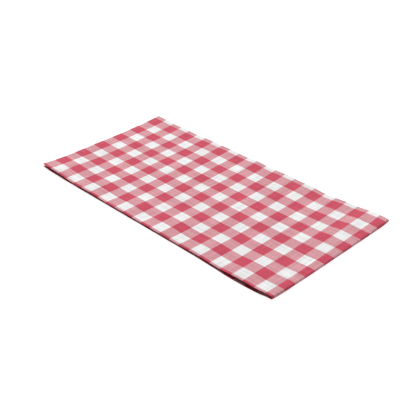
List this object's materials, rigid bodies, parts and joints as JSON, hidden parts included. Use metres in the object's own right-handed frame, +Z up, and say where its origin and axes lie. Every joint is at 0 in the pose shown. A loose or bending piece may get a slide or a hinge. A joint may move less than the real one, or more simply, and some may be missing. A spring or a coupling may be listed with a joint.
{
  "type": "folded tablecloth",
  "caption": "Checked cotton table cloth with double-turned hems, folded once across its length into two leaves that open out flat at the fold.",
  "frame": {"origin": "bottom centre of the folded cloth, on the surface that it lies on", "axes": "+X towards the fold, +Y towards the back long edge, +Z up"},
  "size_m": [0.6205, 0.3154, 0.0085],
  "materials": {
    "gingham_cloth": "matt plain-weave cotton, red and white stripes both ways",
    "gingham_hem": "matt plain-weave cotton, turned over twice",
    "sewing_thread": "matt spun thread"
  },
  "bodies": {
    "lower_leaf": {"lower_panel": "gingham_cloth", "lower_fold": "gingham_cloth", "lower_front_hem": "gingham_hem", "lower_front_hem_fold": "gingham_hem", "lower_front_needle_thread": "sewing_thread", "lower_front_bobbin_thread": "sewing_thread", "lower_back_hem": "gingham_hem", "lower_back_hem_fold": "gingham_hem", "lower_back_needle_thread": "sewing_thread", "lower_back_bobbin_thread": "sewing_thread", "lower_end_hem": "gingham_hem", "lower_end_needle_thread": "sewing_thread", "lower_end_bobbin_thread": "sewing_thread"},
    "upper_leaf": {"upper_panel": "gingham_cloth", "upper_fold": "gingham_cloth", "upper_front_hem": "gingham_hem", "upper_front_hem_fold": "gingham_hem", "upper_front_needle_thread": "sewing_thread", "upper_front_bobbin_thread": "sewing_thread", "upper_back_hem": "gingham_hem", "upper_back_hem_fold": "gingham_hem", "upper_back_needle_thread": "sewing_thread", "upper_back_bobbin_thread": "sewing_thread", "upper_end_hem": "gingham_hem", "upper_end_needle_thread": "sewing_thread", "upper_end_bobbin_thread": "sewing_thread"}
  },
  "joints": [
    {"name": "unfold", "type": "hinge", "parent": "lower_leaf", "child": "upper_leaf", "pos_m": [0.3104, 0, 0.00425], "axis": [0, 1, 0], "range_deg": [0, 179.5]}
  ]
}
